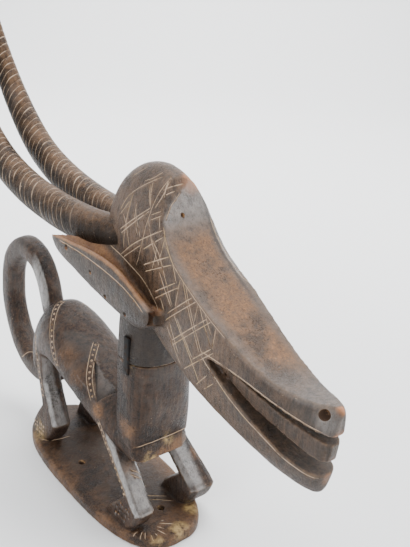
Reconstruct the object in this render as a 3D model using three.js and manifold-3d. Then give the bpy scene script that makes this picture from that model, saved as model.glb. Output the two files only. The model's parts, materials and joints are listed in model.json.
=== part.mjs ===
// Chiwara headdress: an animal with folded legs on an oval plinth, long ringed horns and an open mouth.
// Units are millimetres, Z is up, the muzzle points to -Y and the animal's own left is +X.
// The origin is the bottom centre of the plinth.
import * as THREE from "three";
import { mergeVertices } from "three/addons/utils/BufferGeometryUtils.js";
import Module from "manifold-3d";

const wasm = await Module();
wasm.setup();

// Driving dimensions. Side profiles are points [forward, up] measured from the origin.

// Plinth
const plinthHalfLength = 100.5;
const plinthHalfWidth = 42.3;
const plinthCentre = -3;
const plinthThickness = 10;
const plinthRimDrop = 2;
const plinthRimInset = 3;
const plinthSquareness = 2.8;
const plinthHoleRadius = 3.2;
const plinthHoles = [
  [-19, -18],
  [4, 66],
];

// Trunk: sections across the body, from the rump to the chest
const rumpForward = -99;
const chestForward = 69.5;
const chestLedge = 80;
const chestHeight = 16;
const chestHalfWidth = 25;
const chestChamfer = { across: 7, in: 4 };
const trunkEnd = 60;
const backSquareness = 2.2;
const bellySquareness = 3;
const trunkSections = [
  { forward: rumpForward, top: 106, edge: 82, belly: 64, halfWidth: 13 },
  { forward: -96, top: 119, edge: 81, belly: 54, halfWidth: 22.5 },
  { forward: -89, top: 128, edge: 87, belly: 66, halfWidth: 25 },
  { forward: -76, top: 134.5, edge: 96, belly: 84, halfWidth: 27 },
  { forward: -56, top: 130, edge: 100, belly: 88, halfWidth: 28.5 },
  { forward: -30, top: 120, edge: 94, belly: 82, halfWidth: 29 },
  { forward: 0, top: 107, edge: 86, belly: 74, halfWidth: 29 },
  { forward: 30, top: 98, edge: 80, belly: 66, halfWidth: 28.5 },
  { forward: trunkEnd, top: 84, edge: 72, belly: 59, halfWidth: 24 },
];

// Neck: a post from the chest to the head, in two lengths that meet in a flat joint
const neckHalfWidth = 27;
const neckFoot = 78;
const neckTop = 206;
const neckJoint = 149.5;
const neckSections = [
  { up: neckFoot, side: 1, forward: 53, halfWidth: 27, halfDepth: 14, squareness: 5 },
  { up: 112, side: 0.5, forward: 54, halfWidth: 27, halfDepth: 19.5, squareness: 2.9 },
  { up: neckJoint, side: 0, forward: 52.5, halfWidth: neckHalfWidth, halfDepth: 22.5, squareness: 2.3 },
  { up: neckTop, side: 0, forward: 52.5, halfWidth: 24, halfDepth: 22.5, squareness: 2.3 },
];
const jointGap = 0.3;

// Legs: boards cut to a bent side outline, with chamfered edges; one knee flares outward
const legWidth = 18;
const legChamfer = 3;
const shoulderUp = 95;
const kneeUp = 34;
const footSunk = 4;
const footCurveUp = 13;
const frontLegShape = {
  back: [[-2, 86], [20, 78], [55, 49], [66, 38], [47, 19]],
  heel: { bend: 39, ground: 42 },
  toe: { ground: 66, bend: 80, end: [86, 31] },
  front: [[81, kneeUp], [24, 87], [8, 89]],
};
const rearLegShape = {
  back: [[-88, 92], [-84, 80], [-68, 45], [-82, 22]],
  heel: { bend: -89, ground: -86 },
  toe: { ground: -66, bend: -50, end: [-44, 33] },
  front: [[-47, 37], [-66, 66], [-76, 102]],
};
const frontLegSides = [
  { hand: -1, shoulder: 18.5, knee: 24, flare: 0 },
  { hand: 1, shoulder: 20, knee: 28.5, flare: 6 },
];
const rearLegSides = [
  { hand: -1, shoulder: 16.5, knee: 22, flare: 0 },
  { hand: 1, shoulder: 16.5, knee: 23.5, flare: 0 },
];

// Tail
const tailPath = [
  [-88, 62],
  [-112, 46],
  [-138, 45],
  [-158, 56],
  [-172, 77],
  [-178, 103],
  [-171, 138],
  [-148, 158],
  [-124, 156],
  [-109, 141],
  [-101, 121],
  [-94, 108],
];
const tailBase = 11.4;
const tailTip = 9.6;
const tailAcross = 0.92;
const tailSquareness = 2.8;

// Head
const headSections = [
  { forward: 4, top: 248, belly: 216, halfWidth: 9, crown: 2, jaw: 3, rake: 0 },
  { forward: 10, top: 263, belly: 208, halfWidth: 14, crown: 2, jaw: 3, rake: 0 },
  { forward: 20, top: 277, belly: 202, halfWidth: 18.5, crown: 2, jaw: 3.2, rake: 0 },
  { forward: 36, top: 288, belly: 194, halfWidth: 22, crown: 2, jaw: 3.4, rake: 0 },
  { forward: 56, top: 293, belly: 186, halfWidth: 23.5, crown: 2.1, jaw: 3.4, rake: 0 },
  { forward: 76, top: 287, belly: 177, halfWidth: 24.5, crown: 2.2, jaw: 3.4, rake: 0 },
  { forward: 98, top: 272, belly: 167.5, halfWidth: 25, crown: 2.4, jaw: 3.4, rake: 0 },
  { forward: 126, top: 255, belly: 155.5, halfWidth: 24, crown: 2.9, jaw: 3.2, rake: 0 },
  { forward: 160, top: 235, belly: 145.5, halfWidth: 20.5, crown: 3, jaw: 3, rake: 0 },
  { forward: 194, top: 213, belly: 139, halfWidth: 16.5, crown: 2.8, jaw: 2.8, rake: 0 },
  { forward: 217, top: 206, belly: 137.5, halfWidth: 12.5, crown: 2.4, jaw: 2.6, rake: 0.03 },
  { forward: 229, top: 203, belly: 139, halfWidth: 8.5, crown: 2.2, jaw: 2.4, rake: 0.08 },
  { forward: 233, top: 199, belly: 145, halfWidth: 4, crown: 2, jaw: 2, rake: 0.11 },
];
const headWaist = 0.45;
const headRoom = 40;
const roomAboveFace = 20;
const faceProfile = [
  [70, 300],
  [74, 283],
  [82, 265],
  [98, 245],
  [128, 227],
  [156, 213],
  [182, 203],
  [208, 199.5],
  [234, 203],
];
const chamferSide = 17.5;
const chamferFall = 0.7;
const chamferFrom = 92;
const chamferTo = 146;
const chamferRise = 0.02;

// Mouth: the gape between the lips, and the narrower tongue in it
const lipOutline = [
  [138, 194],
  [158, 193.5],
  [175, 191.3],
  [193, 188.1],
  [209.5, 185.8],
  [226, 184],
  [240, 181.5],
  [240, 153.5],
  [231.5, 154],
  [218, 155.8],
  [203, 159],
  [187.6, 165.4],
  [174.5, 170.6],
  [159.6, 178],
  [143, 188.5],
];
const tongueOutline = [
  [126, 195],
  [140, 192],
  [158, 189],
  [175, 185.5],
  [193, 182],
  [209.5, 180],
  [222, 178.5],
  [240, 175],
  [240, 163],
  [234, 163.5],
  [220, 165],
  [207, 168],
  [192, 171.5],
  [176, 174.5],
  [159, 181],
  [144, 189.4],
  [126, 192],
];
const tongueNarrower = 0.74;

// Holes: across the muzzle, and in the brow
const muzzleHole = { behindTip: 8.5, belowTop: 3, radius: 3.4 };
const browHole = { side: -3, forward: 79, up: 265.5, radius: 1.4, depth: 9 };

// Horns
const hornPath = [
  { side: 7, forward: 36, up: 234 },
  { side: 14.5, forward: 4, up: 230 },
  { side: 17, forward: -24, up: 228 },
  { side: 18, forward: -60, up: 227.5 },
  { side: 19, forward: -106, up: 231.5 },
  { side: 19.5, forward: -150, up: 244 },
  { side: 20, forward: -186, up: 267 },
  { side: 20, forward: -220, up: 301 },
  { side: 20, forward: -250, up: 344 },
  { side: 20, forward: -272, up: 389 },
  { side: 20, forward: -285, up: 430 },
];
const hornBase = 14;
const hornTip = 3.5;
const hornTaper = 2.2;
const leftHornDrop = 2.5;
const hornDropFrom = -150;

// Ears: long troughs that lie back along the head
const earSections = [
  { forward: -28, outside: 39, inside: 36, low: 217, rim: 220.5, inner: 220, hollow: 0.5 },
  { forward: -18, outside: 40.5, inside: 31, low: 209.5, rim: 223, inner: 222.5, hollow: 3 },
  { forward: 4, outside: 41.5, inside: 25, low: 204, rim: 226, inner: 227, hollow: 9 },
  { forward: 30, outside: 41.5, inside: 20, low: 197.5, rim: 228.5, inner: 235, hollow: 15 },
  { forward: 58, outside: 41, inside: 17, low: 192.5, rim: 227.5, inner: 229, hollow: 19 },
  { forward: 78, outside: 40, inside: 17, low: 190.5, rim: 220.5, inner: 221, hollow: 17 },
  { forward: 92, outside: 38.5, inside: 18, low: 195, rim: 213, inner: 212, hollow: 7 },
  { forward: 98.5, outside: 35, inside: 20, low: 201, rim: 207.5, inner: 207, hollow: 0.5 },
];
const earWall = 0.2;

// Iron strips over the neck joint
const stapleWidth = 6;
const stapleHeight = 30;
const stapleThickness = 2.4;
const stapleUp = 155.5;
const stapleForward = 56.5;
const stapleStandOut = 0.5;
const stapleGap = 0.3;

// How finely the curved forms are divided
const mesh = {
  plinthSides: 56,
  trunkSides: 28,
  trunkSteps: 18,
  neckSides: 32,
  neckSteps: 8,
  tailSides: 12,
  tailSteps: 28,
  headSides: 28,
  headSteps: 24,
  hornSides: 14,
  hornSteps: 26,
  earSides: 14,
  earSteps: 16,
};

// A point from its distance to the animal's left, forward and up.
function point(side, forward, up) {
  return new THREE.Vector3(side, -forward, up);
}

// A closed three.js geometry as a solid, turned so that its faces point out.
function solidOf(geometry) {
  const bare = geometry.clone();
  bare.deleteAttribute("normal");
  bare.deleteAttribute("uv");
  const merged = mergeVertices(bare, 1e-4);
  const triVerts = new Uint32Array(merged.index.array);
  const vertProperties = new Float32Array(merged.attributes.position.array);
  const made = new wasm.Manifold(new wasm.Mesh({ numProp: 3, vertProperties, triVerts }));
  if (made.volume() > 0) return made;
  triVerts.reverse();
  return new wasm.Manifold(new wasm.Mesh({ numProp: 3, vertProperties, triVerts }));
}

function join(solids) {
  return solids.reduce((all, solid) => all.add(solid));
}

// A named mesh of a finished solid.
function meshOf(name, solid, material) {
  const made = solid.getMesh();
  const geometry = new THREE.BufferGeometry();
  geometry.setAttribute("position", new THREE.BufferAttribute(new Float32Array(made.vertProperties), 3));
  geometry.setIndex(new THREE.BufferAttribute(new Uint32Array(made.triVerts), 1));
  geometry.computeVertexNormals();
  const node = new THREE.Mesh(geometry, material);
  node.name = name;
  return node;
}

// A capped cylinder whose wall is moved to surface(share of the length, angle) and whose caps stay flat.
function loft(surface, sides, steps) {
  const geometry = new THREE.CylinderGeometry(1, 1, 1, sides, steps);
  const position = geometry.attributes.position;
  for (let i = 0; i < position.count; i += 1) {
    const along = position.getY(i) + 0.5;
    const radius = Math.hypot(position.getX(i), position.getZ(i));
    const angle = Math.round((Math.atan2(position.getZ(i), position.getX(i)) * sides) / (2 * Math.PI));
    const target = new THREE.Vector3();
    if (radius > 0.5) {
      target.copy(surface(along, (angle * 2 * Math.PI) / sides));
    } else {
      for (let k = 0; k < sides; k += 1) target.add(surface(along, (k * 2 * Math.PI) / sides));
      target.divideScalar(sides);
    }
    position.setXYZ(i, target.x, target.y, target.z);
  }
  return solidOf(geometry);
}

// A rounded square outline: 2 is an ellipse, more is squarer.
function rounded(angle, squareness) {
  const across = Math.cos(angle);
  const high = Math.sin(angle);
  return [
    Math.sign(across) * Math.abs(across) ** (2 / squareness),
    Math.sign(high) * Math.abs(high) ** (2 / squareness),
  ];
}

// The values of a list of sections at a share of the list, on a smooth curve through them.
function sectionAt(sections, along) {
  const place = Math.min(Math.max(along, 0), 1) * (sections.length - 1);
  const index = Math.min(Math.floor(place), sections.length - 2);
  const t = place - index;
  const [a, b, c, d] = [-1, 0, 1, 2].map(
    (k) => sections[Math.min(Math.max(index + k, 0), sections.length - 1)],
  );
  const result = {};
  for (const key of Object.keys(b)) {
    const slopeStart = (c[key] - a[key]) / 2;
    const slopeEnd = (d[key] - b[key]) / 2;
    const rise = c[key] - b[key];
    result[key] =
      b[key] +
      slopeStart * t +
      (3 * rise - 2 * slopeStart - slopeEnd) * t ** 2 +
      (slopeStart + slopeEnd - 2 * rise) * t ** 3;
  }
  return result;
}

// The same on straight lines between the sections.
function straightSection(sections, along) {
  const place = Math.min(Math.max(along, 0), 1) * (sections.length - 1);
  const index = Math.min(Math.floor(place), sections.length - 2);
  const result = {};
  for (const key of Object.keys(sections[index])) {
    result[key] = THREE.MathUtils.lerp(sections[index][key], sections[index + 1][key], place - index);
  }
  return result;
}

// A side outline [forward, up] as a board with chamfered edges; place(across, up) is the side coordinate.
function board(outline, place, width, chamferAcross, chamferIn) {
  const geometry = new THREE.ExtrudeGeometry(outline, {
    depth: width - 2 * chamferAcross,
    bevelEnabled: chamferIn > 0,
    bevelThickness: chamferAcross,
    bevelSize: chamferIn,
    bevelOffset: -chamferIn,
    bevelSegments: 1,
    curveSegments: 5,
  });
  geometry.translate(0, 0, chamferAcross - width / 2);
  const position = geometry.attributes.position;
  for (let i = 0; i < position.count; i += 1) {
    const [forward, up, across] = [position.getX(i), position.getY(i), position.getZ(i)];
    const placed = point(place(across, up), forward, up);
    position.setXYZ(i, placed.x, placed.y, placed.z);
  }
  return solidOf(geometry);
}

// The place of a board that stands in the plane of symmetry.
function straight(across) {
  return across;
}

// A tube along a path in the plane of symmetry; radii are [across, in the plane].
function tube(path, radii, squareness, sides, steps) {
  const curve = new THREE.CatmullRomCurve3(path);
  const across = new THREE.Vector3(1, 0, 0);
  return loft(
    (along, angle) => {
      const tangent = curve.getTangentAt(along);
      const normal = new THREE.Vector3().crossVectors(across, tangent).normalize();
      const level = new THREE.Vector3().crossVectors(tangent, normal).normalize();
      const [u, v] = rounded(angle, squareness);
      const [a, b] = radii(along);
      return curve
        .getPointAt(along)
        .addScaledVector(level, u * a)
        .addScaledVector(normal, v * b);
    },
    sides,
    steps,
  );
}

function makePlinth() {
  const levels = [
    { up: 0, inset: 0.6 },
    { up: 1, inset: 0 },
    { up: plinthThickness - plinthRimDrop, inset: 0 },
    { up: plinthThickness - plinthRimDrop * 0.3, inset: plinthRimInset * 0.35 },
    { up: plinthThickness, inset: plinthRimInset },
  ];
  let plinth = loft(
    (along, angle) => {
      const level = levels[Math.round(along * (levels.length - 1))];
      const [u, v] = rounded(angle, plinthSquareness);
      return point(
        u * (plinthHalfWidth - level.inset),
        plinthCentre + v * (plinthHalfLength - level.inset),
        level.up,
      );
    },
    mesh.plinthSides,
    levels.length - 1,
  );
  for (const [side, forward] of plinthHoles) {
    const drill = new THREE.CylinderGeometry(plinthHoleRadius, plinthHoleRadius, 3 * plinthThickness, 12);
    drill.rotateX(Math.PI / 2).translate(side, -forward, plinthThickness / 2);
    plinth = plinth.subtract(solidOf(drill));
  }
  return plinth;
}

function makeTrunk() {
  return loft(
    (along, angle) => {
      const s = sectionAt(trunkSections, along);
      const [u, v] = rounded(angle, Math.sin(angle) > 0 ? backSquareness : bellySquareness);
      const rise = v > 0 ? s.top - s.edge : s.edge - s.belly;
      return point(u * s.halfWidth, s.forward, s.edge + v * rise);
    },
    mesh.trunkSides,
    mesh.trunkSteps,
  );
}

// The breast between the front legs, with the straight ledge that the neck rises from.
function makeChest() {
  const outline = new THREE.Shape();
  outline.moveTo(trunkEnd - 16, chestLedge);
  outline.lineTo(trunkEnd - 16, chestLedge - 14);
  outline.lineTo(chestForward - 4, chestLedge - chestHeight);
  outline.lineTo(chestForward + 1, chestLedge - chestHeight + 3);
  outline.lineTo(chestForward, chestLedge);
  return board(outline, straight, 2 * chestHalfWidth, chestChamfer.across, chestChamfer.in);
}

// The neck between two heights, so that both lengths of it follow one shape.
function makeNeck(from, to, steps) {
  const levels = neckSections.map((s) => s.up);
  const shareOf = (up) => {
    const k = Math.max(1, levels.findIndex((level) => level >= up));
    return (k - 1 + (up - levels[k - 1]) / (levels[k] - levels[k - 1])) / (levels.length - 1);
  };
  return loft(
    (along, angle) => {
      const up = from + (to - from) * along;
      const s = straightSection(neckSections, shareOf(up));
      const [u, v] = rounded(angle, s.squareness);
      return point(s.side + u * s.halfWidth, s.forward + v * s.halfDepth, up);
    },
    mesh.neckSides,
    steps,
  );
}

// A leg's side outline: down its back, round the foot on the ground and up its front.
function legOutline(shape) {
  const ground = plinthThickness - footSunk;
  const outline = new THREE.Shape();
  outline.moveTo(...shape.back[0]);
  for (const corner of shape.back.slice(1)) outline.lineTo(...corner);
  outline.quadraticCurveTo(shape.heel.bend, footCurveUp, shape.heel.ground, ground);
  outline.lineTo(shape.toe.ground, ground);
  outline.quadraticCurveTo(shape.toe.bend, footCurveUp, ...shape.toe.end);
  for (const corner of shape.front) outline.lineTo(...corner);
  return outline;
}

function makeLegs() {
  const legs = (outline, sides) =>
    sides.map(({ hand, shoulder, knee, flare }) => {
      const splay = (knee - shoulder) / (shoulderUp - kneeUp);
      const place = (across, up) => {
        const above = Math.max(up, kneeUp) - kneeUp;
        const outside = hand * across > legWidth / 2 - legChamfer / 2;
        const grown = outside ? flare * (1 - above / (shoulderUp - kneeUp)) : 0;
        return hand * (knee - splay * above + grown) + across;
      };
      return board(outline, place, legWidth, legChamfer, legChamfer);
    });
  return [...legs(legOutline(frontLegShape), frontLegSides), ...legs(legOutline(rearLegShape), rearLegSides)];
}

function makeTail() {
  const path = tailPath.map(([forward, up]) => point(0, forward, up));
  const radius = (along) => tailBase + (tailTip - tailBase) * along;
  const radii = (along) => [radius(along) * tailAcross, radius(along)];
  return tube(path, radii, tailSquareness, mesh.tailSides, mesh.tailSteps);
}

// The head before anything is cut from it, made narrower by a factor.
function makeBlade(narrower) {
  return loft(
    (along, angle) => {
      const s = sectionAt(headSections, along);
      const [u, v] = rounded(angle, Math.sin(angle) > 0 ? s.crown : s.jaw);
      const middle = s.belly + (s.top - s.belly) * headWaist;
      const rise = v > 0 ? s.top - middle : middle - s.belly;
      const up = middle + v * rise;
      return point(narrower * u * s.halfWidth, s.forward - s.rake * (s.top - up), up);
    },
    mesh.headSides,
    mesh.headSteps,
  );
}

function makeHead() {
  const face = new THREE.Shape();
  face.moveTo(...faceProfile[0]);
  face.splineThru(faceProfile.slice(1).map((p) => new THREE.Vector2(...p)));
  const aboveFace = faceProfile[0][1] + roomAboveFace;
  face.lineTo(faceProfile[faceProfile.length - 1][0], aboveFace);
  face.lineTo(faceProfile[0][0], aboveFace);
  const boardOf = (outline) => board(outline, straight, 2 * headRoom, 0, 0);
  const outlineOf = (points) => new THREE.Shape(points.map((p) => new THREE.Vector2(...p)));
  const muzzleTip = headSections[headSections.length - 1];
  const across = new THREE.CylinderGeometry(muzzleHole.radius, muzzleHole.radius, 2 * headRoom, 12);
  across
    .rotateZ(Math.PI / 2)
    .translate(0, muzzleHole.behindTip - muzzleTip.forward, muzzleTip.top - muzzleHole.belowTop);
  const brow = new THREE.CylinderGeometry(browHole.radius, browHole.radius, 2 * browHole.depth, 8);
  brow.translate(browHole.side, -browHole.forward, browHole.up);
  const tongue = makeBlade(tongueNarrower).intersect(boardOf(outlineOf(tongueOutline)));
  return makeBlade(1)
    .subtract(boardOf(face))
    .subtract(makeFaceChamfer(face))
    .subtract(boardOf(outlineOf(lipOutline)))
    .add(tongue)
    .subtract(solidOf(across))
    .subtract(solidOf(brow));
}

// What the chamfer along the left edge of the face takes away: the face cut, falling to the side.
function makeFaceChamfer(face) {
  const geometry = new THREE.ExtrudeGeometry(face, {
    depth: headRoom,
    bevelEnabled: false,
    curveSegments: 5,
  });
  const position = geometry.attributes.position;
  for (let i = 0; i < position.count; i += 1) {
    const [forward, up, out] = [position.getX(i), position.getY(i), position.getZ(i)];
    const fade = 1 - THREE.MathUtils.smoothstep(forward, chamferFrom, chamferTo);
    const fall = out * (chamferFall + chamferRise) * fade - out * chamferRise;
    const placed = point(chamferSide + out, forward, up - fall);
    position.setXYZ(i, placed.x, placed.y, placed.z);
  }
  return solidOf(geometry);
}

function makeHorn(hand) {
  const path = hornPath.map((p) => {
    const drop = hand > 0 ? leftHornDrop * THREE.MathUtils.smoothstep(p.forward, hornDropFrom, 0) : 0;
    return point(hand * p.side, p.forward, p.up - drop);
  });
  const radius = (along) => hornBase + (hornTip - hornBase) * along ** hornTaper;
  return tube(path, (along) => [radius(along), radius(along)], 2, mesh.hornSides, mesh.hornSteps);
}

function makeEar(hand) {
  const outline = (s) => {
    const across = s.outside - s.inside;
    const height = s.rim - s.low;
    const floor = s.rim - s.hollow;
    return [
      [0.55, s.low],
      [0.8, s.low + 0.04 * height],
      [0.94, s.low + 0.2 * height],
      [1, s.low + 0.5 * height],
      [1, s.low + 0.8 * height],
      [0.96, s.rim],
      [1 - earWall, s.rim - 0.1 * s.hollow],
      [0.72, floor + 0.3 * s.hollow],
      [0.55, floor],
      [0.38, floor + 0.12 * s.hollow],
      [0.2, (floor + s.inner) / 2],
      [0.04, s.inner],
      [0, s.low + 0.5 * height],
      [0.22, s.low + 0.1 * height],
    ].map(([share, up]) => [s.inside + across * share, up]);
  };
  return loft(
    (along, angle) => {
      const s = sectionAt(earSections, along);
      const corners = outline(s);
      const index = Math.round((angle * corners.length) / (2 * Math.PI)) % corners.length;
      const [side, up] = corners[(index + corners.length) % corners.length];
      return point(hand * side, s.forward, up);
    },
    mesh.earSides,
    mesh.earSteps,
  );
}

// A straight iron strip against the side of the neck; its pocket is the same box with room around it.
function stapleBox(hand, room) {
  const box = new THREE.BoxGeometry(
    stapleThickness + room,
    stapleWidth + 2 * room,
    stapleHeight + 2 * room,
  );
  const outside = neckHalfWidth + stapleStandOut;
  box.translate(hand * (outside - (stapleThickness + room) / 2), -stapleForward, stapleUp);
  return solidOf(box);
}

const wood = new THREE.MeshStandardMaterial({ color: 0x3b302b, roughness: 0.5, metalness: 0 });
const darkWood = new THREE.MeshStandardMaterial({ color: 0x352a25, roughness: 0.5, metalness: 0 });
const iron = new THREE.MeshStandardMaterial({ color: 0x2c2e33, roughness: 0.6, metalness: 0.8 });

const pockets = join([stapleBox(-1, stapleGap), stapleBox(1, stapleGap)]);

const body = join([
  makePlinth(),
  makeTrunk(),
  makeNeck(neckFoot, neckJoint, mesh.neckSteps),
  makeChest(),
  makeTail(),
  ...makeLegs(),
]);
const head = join([
  makeNeck(neckJoint + jointGap, neckTop, 1),
  makeHead(),
  makeHorn(-1),
  makeHorn(1),
  makeEar(-1),
  makeEar(1),
]);

const headdress = new THREE.Group();
headdress.add(meshOf("body_with_plinth", body.subtract(pockets), wood));
headdress.add(meshOf("head_with_horns", head.subtract(pockets), darkWood));
headdress.add(meshOf("iron_staple_right", stapleBox(-1, 0), iron));
headdress.add(meshOf("iron_staple_left", stapleBox(1, 0), iron));

export default headdress;
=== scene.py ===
# A chiwara headdress: an animal with folded legs on an oval plinth, with long ringed horns and open mouth.
# Sizes are millimetres until point() turns them into metres. Forward is where the muzzle points, -Y.
import json
import math
from functools import partial, reduce

import bmesh
import bpy
import numpy as np
from mathutils import Matrix, Vector, noise
from mathutils.bvhtree import BVHTree

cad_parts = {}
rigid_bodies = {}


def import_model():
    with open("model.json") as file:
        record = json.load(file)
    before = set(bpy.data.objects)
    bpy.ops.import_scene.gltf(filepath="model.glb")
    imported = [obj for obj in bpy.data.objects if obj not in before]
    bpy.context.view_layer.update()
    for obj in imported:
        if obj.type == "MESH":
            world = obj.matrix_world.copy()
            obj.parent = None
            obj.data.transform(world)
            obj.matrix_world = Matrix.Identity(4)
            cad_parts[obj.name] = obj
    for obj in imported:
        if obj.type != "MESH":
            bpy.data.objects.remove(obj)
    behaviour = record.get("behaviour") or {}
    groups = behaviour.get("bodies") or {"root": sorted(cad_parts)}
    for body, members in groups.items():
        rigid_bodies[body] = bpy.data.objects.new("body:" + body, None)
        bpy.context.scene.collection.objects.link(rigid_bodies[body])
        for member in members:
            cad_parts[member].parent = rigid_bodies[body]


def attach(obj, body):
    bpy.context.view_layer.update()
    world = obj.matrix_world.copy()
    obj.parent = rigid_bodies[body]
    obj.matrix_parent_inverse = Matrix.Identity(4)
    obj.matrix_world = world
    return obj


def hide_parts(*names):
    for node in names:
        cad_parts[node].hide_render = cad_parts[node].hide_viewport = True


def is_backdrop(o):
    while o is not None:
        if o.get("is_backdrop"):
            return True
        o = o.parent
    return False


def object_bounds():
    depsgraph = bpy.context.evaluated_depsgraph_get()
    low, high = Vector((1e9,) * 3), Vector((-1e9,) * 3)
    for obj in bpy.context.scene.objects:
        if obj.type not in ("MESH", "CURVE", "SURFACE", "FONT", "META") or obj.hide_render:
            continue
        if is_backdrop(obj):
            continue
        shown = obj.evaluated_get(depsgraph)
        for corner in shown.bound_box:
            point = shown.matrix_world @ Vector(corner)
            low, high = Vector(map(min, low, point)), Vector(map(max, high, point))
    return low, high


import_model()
cad_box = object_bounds()

MM = 0.001
VERTEX, EDGE = bmesh.types.BMVert, bmesh.types.BMEdge

# Plinth; its levels: up, how far in the outline is there; its holes: side, forward
PLINTH_HALF_LENGTH = 100.5
PLINTH_HALF_WIDTH = 42.3
PLINTH_CENTRE = -3
PLINTH_THICKNESS = 10
PLINTH_SQUARENESS = 2.8
PLINTH_LEVELS = [(0, 0.6), (1, 0), (8, 0), (9.4, 1.05), (10, 3)]
PLINTH_HOLES = [(-19, -18), (4, 66)]
PLINTH_HOLE_RADIUS = 3.2

# Trunk: forward, top, edge, belly, half width
TRUNK = [
    (-99, 106, 82, 64, 13),
    (-96, 119, 81, 54, 22.5),
    (-89, 128, 87, 66, 25),
    (-76, 134.5, 96, 84, 27),
    (-56, 130, 100, 88, 28.5),
    (-30, 120, 94, 82, 29),
    (0, 107, 86, 74, 29),
    (30, 98, 80, 66, 28.5),
    (60, 84, 72, 59, 24),
]
BACK_SQUARENESS = 2.2
BELLY_SQUARENESS = 3
CHEST = [(44, 80), (44, 66), (65.5, 64), (70.5, 67), (69.5, 80)]
CHEST_WIDTH = 50
CHEST_CHAMFER = (7, 4)

# Neck: up, side, forward, half width, half depth, squareness
NECK = [
    (78, 1, 53, 27, 14, 5),
    (112, 0.5, 54, 27, 19.5, 2.9),
    (149.5, 0, 52.5, 27, 22.5, 2.3),
    (206, 0, 52.5, 24, 22.5, 2.3),
]
NECK_FOOT = 78
NECK_JOINT = 149.5
NECK_TOP = 206
JOINT_GAP = 0.3

# Legs
LEG_WIDTH = 18
LEG_CHAMFER = (3.5, 3)
CRISP_SHARE = 0.3
SHOULDER_UP = 95
KNEE_UP = 34
LEG_LEVELS = 10
FOOT_SUNK = 4
FOOT_CURVE_UP = 13
FOOT_CURVE_STEPS = 8
FRONT_LEG = {
    "back": [(-2, 86), (20, 78), (55, 49), (66, 38), (47, 19)],
    "heel": (39, 42),
    "toe": (66, 80, 86, 31),
    "front": [(81, 34), (24, 87), (8, 89)],
}
REAR_LEG = {
    "back": [(-88, 92), (-84, 80), (-68, 45), (-82, 22)],
    "heel": (-89, -86),
    "toe": (-66, -50, -44, 33),
    "front": [(-47, 37), (-66, 66), (-76, 102)],
}
# Hand, distance out at the shoulder and at the knee, and how much the outer face flares at the knee
FRONT_SIDES = [(-1, 18.5, 24, 0), (1, 20, 28.5, 6)]
REAR_SIDES = [(-1, 16.5, 22, 0), (1, 16.5, 23.5, 0)]

# Tail
TAIL = [
    (-88, 62), (-112, 46), (-138, 45), (-158, 56), (-172, 77), (-178, 103),
    (-171, 138), (-148, 158), (-124, 156), (-109, 141), (-101, 121), (-94, 108),
]
TAIL_BASE = 11.4
TAIL_TIP = 9.6
TAIL_ACROSS = 0.92
TAIL_SQUARENESS = 2.8

# Head: forward, top, belly, half width, crown, jaw, rake
HEAD = [
    (4, 248, 216, 9, 2, 3, 0),
    (10, 263, 208, 14, 2, 3, 0),
    (20, 277, 202, 18.5, 2, 3.2, 0),
    (36, 288, 194, 22, 2, 3.4, 0),
    (56, 293, 186, 23.5, 2.1, 3.4, 0),
    (76, 287, 177, 24.5, 2.2, 3.4, 0),
    (98, 272, 167.5, 25, 2.4, 3.4, 0),
    (126, 255, 155.5, 24, 2.9, 3.2, 0),
    (160, 235, 145.5, 20.5, 3, 3, 0),
    (194, 213, 139, 16.5, 2.8, 2.8, 0),
    (217, 206, 137.5, 12.5, 2.4, 2.6, 0.03),
    (229, 203, 139, 8.5, 2.2, 2.4, 0.08),
    (233, 199, 145, 4, 2, 2, 0.11),
]
HEAD_WAIST = 0.45
HEAD_ROOM = 40
ABOVE_HEAD = 320
FACE = [
    (70, 300), (74, 283), (82, 265), (98, 245), (128, 227),
    (156, 213), (182, 203), (208, 199.5), (234, 203),
]
CHAMFER_SIDE = 17.5
CHAMFER_FALL = 0.7
CHAMFER_FROM = 92
CHAMFER_TO = 146
CHAMFER_RISE = 0.02

# Mouth
LIPS = [
    (138, 194), (158, 193.5), (175, 191.3), (193, 188.1), (209.5, 185.8), (226, 184), (240, 181.5),
    (240, 153.5), (231.5, 154), (218, 155.8), (203, 159), (187.6, 165.4), (174.5, 170.6), (159.6, 178),
    (143, 188.5),
]
TONGUE = [
    (126, 195), (140, 192), (158, 189), (175, 185.5), (193, 182), (209.5, 180), (222, 178.5),
    (240, 175), (240, 163), (234, 163.5), (220, 165), (207, 168), (192, 171.5), (176, 174.5),
    (159, 181), (144, 189.4), (126, 192),
]
TONGUE_NARROWER = 0.74
MUZZLE_HOLE = (224.5, 196, 3.4)
BROW_HOLE = (-3, 79, 265.5, 1.4, 9)

# Horns: side, forward, up
HORN = [
    (7, 36, 234), (14.5, 4, 230), (17, -24, 228), (18, -60, 227.5), (19, -106, 231.5), (19.5, -150, 244),
    (20, -186, 267), (20, -220, 301), (20, -250, 344), (20, -272, 389), (20, -285, 430),
]
HORN_BASE = 14
HORN_TIP = 3.5
HORN_TAPER = 2.2
LEFT_HORN_DROP = 2.5
HORN_DROP_FROM = -150
RING_SPACING = 6.4
RING_DEPTH = 0.4
RING_TILT = 0.6
RING_TILT_TOWARDS = (-0.65, 0, -0.76)
RING_WOBBLE = 0.22
# Where the rows of vertices lie from one ring's groove to the next, and how far a groove reaches
RING_ROWS = (0, 0.07, 0.16, 0.3, 0.5, 0.7, 0.84, 0.93)
GROOVE_REACH = 0.16

# Ears: forward, outside, inside, low, rim, inner, hollow
EAR = [
    (-28, 39, 36, 217, 220.5, 220, 0.5),
    (-18, 40.5, 31, 209.5, 223, 222.5, 3),
    (4, 41.5, 25, 204, 226, 227, 9),
    (30, 41.5, 20, 197.5, 228.5, 235, 15),
    (58, 41, 17, 192.5, 227.5, 229, 19),
    (78, 40, 17, 190.5, 220.5, 221, 17),
    (92, 38.5, 18, 195, 213, 212, 7),
    (98.5, 35, 20, 201, 207.5, 207, 0.5),
]
EAR_WALL = 0.2

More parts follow.
